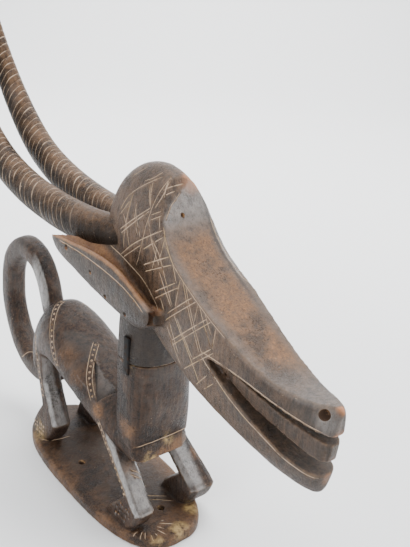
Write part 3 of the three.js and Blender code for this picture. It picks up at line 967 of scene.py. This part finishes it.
# Painted shadow on the plinth under the body and between the legs
PLINTH_PAINTED_SHADOW = [(3, 30, 10, 42), (-6, -35, 10, 40)]
FLANK_FADED = [(-25, -33, 108, 16), (-26, -13, 100, 14)]
BODY_RUBBED = [
    (33, 66, 36, 12), (36, 60, 44, 12), (0, 66, 68, 16), (14, 66, 68, 14), (-14, 66, 68, 14),
    (-26, 58, 95, 12), (-22, 62, 60, 12), (-30, 20, 88, 10),
]
# The share of its reach over which a spot is at full strength
SPOT_CORE = 0.3


def add(tree, kind, inputs=None, **settings):
    """A shader node with its settings, its inputs' values and its links."""
    made = tree.nodes.new("ShaderNode" + kind)
    for name, value in settings.items():
        setattr(made, name, value)
    for key, value in (inputs or {}).items():
        if isinstance(value, bpy.types.NodeSocket):
            tree.links.new(value, made.inputs[key])
        else:
            made.inputs[key].default_value = value
    return made


def mix(tree, factor, low, high):
    """A colour between two."""
    inputs = {0: factor}
    for index, colour in ((6, low), (7, high)):
        inputs[index] = colour if isinstance(colour, bpy.types.NodeSocket) else (*colour, 1)
    return add(tree, "Mix", inputs, data_type="RGBA").outputs[2]


def ranged(tree, value, low, high, to_low=0, to_high=1):
    settings = {"Value": value, "From Min": low, "From Max": high, "To Min": to_low, "To Max": to_high}
    return add(tree, "MapRange", settings).outputs["Result"]


def multiply(tree, a, b):
    return add(tree, "Math", {0: a, 1: b}, operation="MULTIPLY").outputs[0]


def plus(tree, a, b):
    return add(tree, "Math", {0: a, 1: b}).outputs[0]


def noise_of(tree, vector, scale, detail=4, roughness=0.55):
    settings = {"Vector": vector, "Scale": scale, "Detail": detail, "Roughness": roughness}
    return add(tree, "TexNoise", settings).outputs["Fac"]


def turned_noise(tree, place, turn, stretch, scale, detail, roughness=0.55):
    """A pattern of long streaks: turned, and stretched along their length."""
    mapping = add(tree, "Mapping", {"Vector": place, "Rotation": turn, "Scale": (1, 1, stretch)})
    return noise_of(tree, mapping.outputs["Vector"], scale, detail, roughness)


def bumped(tree, height, strength, distance):
    inputs = {"Height": height, "Strength": strength, "Distance": distance}
    return add(tree, "Bump", inputs).outputs["Normal"]


def finished(material, tree, inputs):
    shader = add(tree, "BsdfPrincipled", inputs)
    output = add(tree, "OutputMaterial")
    tree.links.new(shader.outputs["BSDF"], output.inputs["Surface"])
    return material


def new_material(name):
    """An empty material, its nodes, and the place on the object that its patterns follow."""
    material = bpy.data.materials.new(name)
    material.use_nodes = True
    tree = material.node_tree
    tree.nodes.clear()
    return material, tree, add(tree, "TexCoord").outputs["Object"]


def attribute(tree, name):
    return add(tree, "Attribute", attribute_name=name).outputs["Fac"]


def wood(name, dark, brown, turn, shine):
    """Old dark wood: streaks along the grain, brown wear that also carries painted light, grey bloom, pale
    specks, lighter edges, darker hollows with painted shade, and a dull polish with a painted grey sheen.
    """
    material, tree, place = new_material(name)
    spread, mark = partial(ranged, tree), partial(attribute, tree)
    streaks = turned_noise(tree, place, turn, 0.12, 340, 8, 0.7)
    mottled = noise_of(tree, place, 150, 8, 0.7)
    blotches = noise_of(tree, place, 30, 5, 0.6)
    fine = noise_of(tree, place, 700, 4, 0.7)
    specks = noise_of(tree, place, 420, 2, 0.8)
    scratches = [turned_noise(tree, place, turned, 0.06, 620, 2) for turned in SCRATCH_TURNS]
    rubbed = mix(tree, spread(fine, 0.38, 0.62), RUBBED_DARK, RUBBED_LIGHT)
    bloomed = spread(mottled, 0.36, 0.5, 0.55, 1)
    # Tones laid one over another, each as strong as the product of the factors after it
    layers = [
        (brown, spread(streaks, 0.36, 0.72)),
        (brown, spread(mottled, 0.5, 0.66), 0.6),
        (dark, spread(fine, 0.52, 0.66), 0.65),
        (GREY_BLOOM, spread(blotches, 0.5, 0.62), 0.4),
        (dark, spread(blotches, 0.47, 0.38, 0, 0.85)),
        # Brown wear, and painted light on the horns and in the ears' troughs
        (rubbed, mark("rubbed"), spread(plus(tree, mottled, blotches), 0.86, 1.1, 0.15, 1)),
        # Painted sheen: pale grey where the polish mark is set
        (PAINTED_SHEEN_GREY, mark("polish"), spread(streaks, 0.36, 0.54, 0.3, 0.9), bloomed),
        *((SCRATCH_TONE, spread(lines, 0.66, 0.72), 0.3) for lines in scratches),
        # Worn edges, partly a painted highlight
        (WORN_EDGE_AND_HIGHLIGHT, mark("edge"), spread(mottled, 0.38, 0.58), 0.75),
        (BARE_ORANGE, mark("bare")),
        # Darker hollows and creases, and painted shade
        (DARK_AND_SHADE_TONE, mark("hollow"), 0.75),
        (OCHRE, mark("dust"), spread(mottled, 0.42, 0.6), 0.8),
        (CHALK_TONE, mark("chalk"), spread(mottled, 0.36, 0.52, 0.1, 1)),
        (CHALK_TONE, spread(specks, 0.72, 0.76), 0.6),
    ]
    colour = dark
    for tone, *factors in layers:
        colour = mix(tree, reduce(partial(multiply, tree), factors), colour, tone)
    rough = spread(plus(tree, blotches, fine), 0.8, 1.2, 0.24, 0.56)
    height = plus(tree, plus(tree, streaks, multiply(tree, mottled, 1.6)), multiply(tree, fine, 0.7))
    inputs = {
        "Base Color": colour,
        "Roughness": mix(tree, mark("polish"), rough, POLISH_ROUGHNESS),
        "Specular IOR Level": spread(mark("polish"), 0, 1, shine, 0.8),
        "Normal": bumped(tree, height, spread(mark("polish"), 0, 1, 0.7, 0.3), 0.0009),
    }
    return finished(material, tree, inputs)


def line_dust(name, pale, brown, bare):
    """Pale dust and paint left in cut lines, thin in places; or the brown of bare wood in a hole."""
    material, tree, place = new_material(name)
    left = ranged(tree, noise_of(tree, place, 160, 5, 0.7), bare, bare + 0.12)
    yellow = ranged(tree, noise_of(tree, place, 60, 3), 0.5, 0.65, 0, 0.6)
    colour = mix(tree, left, brown, mix(tree, yellow, pale, OCHRE))
    normal = bumped(tree, noise_of(tree, place, 1500), 0.5, 0.0002)
    return finished(material, tree, {"Base Color": colour, "Roughness": 0.85, "Normal": normal})


def iron():
    """Blackened iron with a little dark rust."""
    material, tree, place = new_material("old_iron")
    rust = ranged(tree, noise_of(tree, place, 260, 5, 0.65), 0.5, 0.7)
    inputs = {
        "Base Color": mix(tree, rust, IRON_BLACK, IRON_RUST),
        "Roughness": ranged(tree, rust, 0, 1, 0.6, 0.85),
        "Metallic": 0.2,
        "Specular IOR Level": 0.2,
        "Normal": bumped(tree, noise_of(tree, place, 700), 0.4, 0.0003),
    }
    return finished(material, tree, inputs)


def near_spots(place, spots):
    """How near each vertex is to the middle of a spot, 1 there and 0 at its reach."""
    best = np.zeros(len(place))
    for side, forward, up, reach in spots:
        away = np.linalg.norm(place - np.array(point(side, forward, up)), axis=1) / (reach * MM)
        best = np.maximum(best, slope(away, 1, SPOT_CORE))
    return best


def bends(mesh, place, normal):
    """How the surface bends at each vertex, evened out: above 0 on an edge and below 0 in a hollow."""
    count = len(place)
    pairs = np.empty(len(mesh.edges) * 2, int)
    mesh.edges.foreach_get("vertices", pairs)
    a, b = pairs.reshape(-1, 2).T
    step = place[a] - place[b]
    step /= np.linalg.norm(step, axis=1)[:, None] + 1e-9
    near = np.bincount(a, minlength=count) + np.bincount(b, minlength=count)
    out = (normal[a] * step).sum(1), (normal[b] * step).sum(1)
    bend = (np.bincount(a, out[0], count) - np.bincount(b, out[1], count)) / near
    for _ in range(3):
        spread = np.bincount(a, bend[b], count) + np.bincount(b, bend[a], count)
        bend = 0.4 * bend + 0.6 * spread / near
    return bend


def at_least(marks, name, *strengths):
    """Makes a mark no weaker than each of some strengths."""
    for strength in strengths:
        marks[name] = np.maximum(marks[name], strength)


def millimetres(place):
    """How far left, forward and up each place is."""
    return place[:, 0] / MM, -place[:, 1] / MM, place[:, 2] / MM


def facing_front(out_back, out_up):
    """1 where a surface looks up and forward."""
    return slope(out_back, -0.4, -0.6) * slope(out_up, 0.12, 0.3)


def mark_body(marks, place, normal):
    """The plinth's wear and painted shadow under the body, the faded flank, and polish with a painted grey
    sheen on legs, tail and shoulder.
    """
    left, forward, up = millimetres(place)
    out_left, out_back, out_up = normal.T
    side, on_right = np.abs(left), left < 0
    plinth = slope(up, 11, 9.6) * (0.15 + 0.45 * slope(side, 22, 40) + 0.4 * slope(forward, 40, 100))
    at_least(marks, "rubbed", 0.4 * near_spots(place, FLANK_FADED), plinth)
    # Painted shadow: the plinth darker under the body and between the legs
    at_least(marks, "hollow", 0.55 * near_spots(place, PLINTH_PAINTED_SHADOW))

    # Painted sheen: masks for the fronts and bevels of the legs, the root of the tail and the shoulder's flat
    # place, where light is reflected
    rear_legs = slope(forward, -45, -50)
    legs = slope(up, 12, 15) * slope(up, 92, 84) * slope(forward, -82, -76)
    legs *= np.maximum(slope(forward, -30, -20), slope(side, 17, 20))
    legs *= np.maximum(np.maximum(slope(side, 25.5, 27), rear_legs), slope(up, 66, 60))
    right_front = np.maximum(rear_legs, 1 - 0.5 * slope(up, 44, 60))
    front = facing_front(out_back, out_up) * np.where(on_right, right_front, slope(side, 35, 29))
    bevel = slope(out_back, -0.25, -0.4) * slope(out_up, 0.2, 0.35) * slope(np.abs(out_left), 0.35, 0.5)
    tail_root = slope(forward, -92, -97) * slope(forward, -122, -114) * slope(up, 116, 124)
    tail_root *= slope(out_left, -0.55, -0.8)
    corners = [point(*corner) for corner in FACET]
    facet_up = np.array(plane_up(corners))
    above = (place - np.array(corners[0])) @ facet_up / MM + FACET_DEPTH
    facet = (np.abs(above) < 0.2) * (forward > -14) * (forward < 23) * on_right
    facet = facet * slope(normal @ facet_up, 0.8, 0.95)
    # Polish with its painted grey sheen
    at_least(marks, "polish", legs * np.maximum(0.75 * front, bevel * on_right), 0.3 * facet, tail_root)


def mark_head(marks, place, normal):
    """The brown face, a painted grey sheen on its brow, edge and lower part, the ears' brown troughs
    lightened with painted light, painted shade on the neck under the head, and darker ears and snout.
    """
    left, forward, up = millimetres(place)
    out_left, out_back, out_up = normal.T
    side = np.abs(left)
    outline = np.array(smooth_outline(FACE))
    off_face = np.abs(up - np.interp(forward, outline[:, 0], outline[:, 1]))
    on_face = slope(off_face / (1 + 2.5 * slope(forward, 100, 74)), 4, 1.5) * (forward > 69)
    from_edge = left + np.interp(forward, [s[0] for s in HEAD], [s[3] for s in HEAD])
    brown = on_face * slope(up, 266, 248) * slope(forward, 204, 172)
    brown *= 0.25 + 0.75 * slope(from_edge, 3, 13) * slope(left, 18, 10)
    # The ears' troughs: their brown wood, lightened with painted light against their shade by bare orange,
    # ochre and less darkening
    trough = slope(out_up, 0.1, 0.4) * slope(side, 23.5, 25.5) * slope(forward, 98, 90)
    at_least(marks, "rubbed", brown, trough)
    at_least(marks, "dust", 0.15 * trough)
    at_least(marks, "bare", 0.28 * trough)

    # Painted shade on the neck under the head; the ears, the face's left rim and the snout are only made
    # darker
    neck = slope(up, 196, 180) * slope(forward, 80, 74) * slope(side, 28.5, 27)
    ear = slope(side, 27, 33) * (1 - trough)
    rim = slope(left, 14.5, 16) * slope(left, 18.5, 16.5) * slope(forward, 150, 120) * (forward > 76)
    at_least(marks, "hollow", 1.05 * neck, 0.85 * ear, 0.8 * rim * (out_up > 0))
    marks["hollow"] *= 1 - 0.8 * trough
    snout = slope(forward, 145, 175) * (1 - on_face) * (1 - marks["edge"])
    at_least(marks, "hollow", 0.45 * snout)

    # Painted sheen: a pale grey on the brow, the lower face, the face's left edge and two spots, where light
    # is reflected
    past_border = left - np.interp(up, FACE_CORNER_UP, FACE_CORNER_SIDE)
    brow = facing_front(out_back, out_up) * slope(up, 248, 272) * slope(past_border, -3, 1)
    grey_face = on_face * slope(up, 175, 190) * (1 - marks["rubbed"]) * (up < 256)
    strip = slope(left, 16.5, 18.5) * slope(out_left, 0.25, 0.4) * slope(forward, 165, 120)
    strip *= slope(forward, 70, 74) * slope(up, 222, 230)
    shine = near_spots(place, HEAD_PAINTED_SHEEN)
    at_least(marks, "polish", 0.6 * brow, 0.24 * grey_face, 0.9 * strip, 0.7 * shine)


def mark_horn(marks, _, normal, worn):
    """Painted light as brown on the upper left side, and painted shade on the lower right side."""
    away = normal @ np.array(RING_TILT_TOWARDS)
    at_least(marks, "rubbed", worn * slope(-away, -0.2, 0.5))
    at_least(marks, "hollow", slope(away, -0.1, 0.5))


def write_marks(piece, own_marks, *details, bare=(), dust=(), rubbed=()):
    """Stores for the material where a mesh has edges and hollows, painted light and shade and a painted
    sheen, and is bare, dusty, rubbed or polished.
    """
    mesh = piece.data
    place, normal = np.empty((2, len(mesh.vertices) * 3))
    mesh.vertices.foreach_get("co", place)
    mesh.vertices.foreach_get("normal", normal)
    place, normal = place.reshape(-1, 3), normal.reshape(-1, 3)
    bend = 7 * bends(mesh, place, normal)
    edge = np.clip(bend - 0.25, 0, 1)
    marks = {
        # Convex edges: worn, and partly a painted highlight
        "edge": edge,
        "bare": np.clip(near_spots(place, bare) * (0.45 + 2 * edge), 0, 1),
        "dust": near_spots(place, dust),
        "rubbed": near_spots(place, rubbed),
        # Darker in hollows and creases; own_marks add painted shade
        "hollow": np.clip(-bend - 0.2, 0, 1),
        # Polish, with a painted grey sheen
        "polish": np.zeros(len(place)),
    }
    own_marks(marks, place, normal, *details)
    for name, values in marks.items():
        mesh.attributes.new(name, "FLOAT", "POINT").data.foreach_set("value", values)


def show(name, bm, finishes, replaces):
    """A finished piece: smooth shaded, riding on the body and standing for its node."""
    for face in bm.faces:
        face.smooth = True
    piece = object_of(name, bm, finishes)
    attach(piece, "root")
    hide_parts(replaces)
    return piece


UPRIGHT = (0, 0, 0)
ALONG_HEAD = (math.radians(-60), 0, 0)
ALONG_HORN = (math.radians(90), 0, 0)
dark_wood = wood("dark_wood", (0.009, 0.006, 0.005), (0.072, 0.038, 0.021), UPRIGHT, shine=0.22)
head_wood = wood("head_wood", (0.028, 0.018, 0.012), (0.15, 0.09, 0.055), ALONG_HEAD, shine=0.3)
horn_wood = wood("horn_wood", (0.010, 0.006, 0.004), (0.085, 0.046, 0.022), ALONG_HORN, shine=0.12)
chalk = line_dust("line_dust", CHALK_TONE, (0.12, 0.07, 0.04), 0.34)
bare_wood = line_dust("bare_wood", (0.30, 0.16, 0.07), (0.05, 0.025, 0.012), 0.5)
old_iron = iron()

body = show("body_carving", make_body(), [dark_wood, chalk, bare_wood], "body_with_plinth")
write_marks(body, mark_body, dust=BODY_DUST, rubbed=BODY_RUBBED)
head = show("head_carving", make_head(), [head_wood, chalk, bare_wood], "head_with_horns")
write_marks(head, mark_head, bare=HEAD_BARE)
# The last number says how strong the painted light on each horn's upper side is
for hand, name, worn in ((-1, "horn_right", 0.3), (1, "horn_left", 0.4)):
    horn = show(name, make_horn(hand), [horn_wood], "head_with_horns")
    write_marks(horn, mark_horn, worn)
for hand, name in ((-1, "right"), (1, "left")):
    show("staple_" + name, make_staple(hand), [old_iron], "iron_staple_" + name)


# Stage, lights and camera


# Stage: half its floor's width and depth, the wall's curve and height in metres, and its turn in degrees
FLOOR_HALF = (3, 1.5)
WALL_CURVE = 1
WALL_RISE = 2
STAGE_TURN = -40
PAPER_TONE = (0.86, 0.865, 0.87, 1)


def make_stage():
    """A pale floor that curves up into a wall behind."""
    width, depth = FLOOR_HALF
    bm = bmesh.new()
    front = bm.edges.new([bm.verts.new((x, -depth, 0)) for x in (-width, width)])
    floor = bmesh.ops.extrude_edge_only(bm, edges=[front])["geom"]
    bmesh.ops.translate(bm, verts=of_kind(VERTEX, floor), vec=(0, 2 * depth, 0))
    centre = (0, depth, WALL_CURVE)
    turn = {"cent": centre, "axis": (1, 0, 0), "angle": math.radians(90), "steps": 16, "use_merge": False}
    bend = bmesh.ops.spin(bm, geom=of_kind(EDGE, floor), **turn)["geom_last"]
    wall = bmesh.ops.extrude_edge_only(bm, edges=of_kind(EDGE, bend))["geom"]
    bmesh.ops.translate(bm, verts=of_kind(VERTEX, wall), vec=(0, 0, WALL_RISE))
    bmesh.ops.rotate(bm, verts=bm.verts, matrix=Matrix.Rotation(math.radians(STAGE_TURN), 3, "Z"))
    bmesh.ops.recalc_face_normals(bm, faces=bm.faces)
    for face in bm.faces:
        face.smooth = True
    paper, tree, _ = new_material("paper")
    finished(paper, tree, {"Base Color": PAPER_TONE, "Roughness": 0.9})
    stage = object_of("floor", bm, [paper])
    stage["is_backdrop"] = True


def softbox(name, direction, distance, size, power, aim=(0, -0.05, 0.15)):
    """A square lamp that looks at aim; metres and watts."""
    lamp = bpy.data.lights.new(name, "AREA")
    lamp.size = size
    lamp.energy = power
    made = linked(name, lamp)
    made.location = Vector(aim) + Vector(direction).normalized() * distance
    made.rotation_euler = (Vector(aim) - made.location).to_track_quat("-Z", "Y").to_euler()


CAMERA_PLACE = (-301.4, -463.6, 448.2)
CAMERA_AXES = ((0.7834, -0.6181, 0.0653), (0.2127, 0.3653, 0.9063), (-0.584, -0.696, 0.4176))
CAMERA_LENS = 52.65
CAMERA_SENSOR = 36


def make_camera():
    data = bpy.data.cameras.new("camera")
    data.sensor_fit = "VERTICAL"
    data.sensor_height = CAMERA_SENSOR
    data.lens = CAMERA_LENS
    data.clip_start = 0.02
    made = linked("camera", data)
    turned = Matrix(CAMERA_AXES).transposed().to_4x4()
    made.matrix_world = Matrix.Translation(Vector(CAMERA_PLACE) * MM) @ turned
    bpy.context.scene.camera = made


make_stage()
softbox("left_softbox", (-0.84, -0.24, 0.44), 1.3, 0.8, 13)
softbox("rear_softbox", (-0.42, 0.7, 0.56), 1.3, 0.8, 8)
softbox("front_softbox", (0.6, -0.55, 0.58), 1.25, 1.2, 24)
softbox("top_softbox", (0.0, 0.1, 1), 1.5, 1.2, 12)
softbox("backdrop_softbox", (-0.4, -0.5, 1), 1.6, 1.6, 75, aim=(1.3, 1.5, 0.2))
world = bpy.data.worlds.new("room")
bpy.context.scene.world = world
world.use_nodes = True
sky = world.node_tree.nodes["Background"].inputs
sky["Color"].default_value = (0.9, 0.95, 1, 1)
sky["Strength"].default_value = 0.4
make_camera()

boxes = {"cad": cad_box, "visual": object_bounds()}
{key: [list(corner) for corner in box] for key, box in boxes.items()}
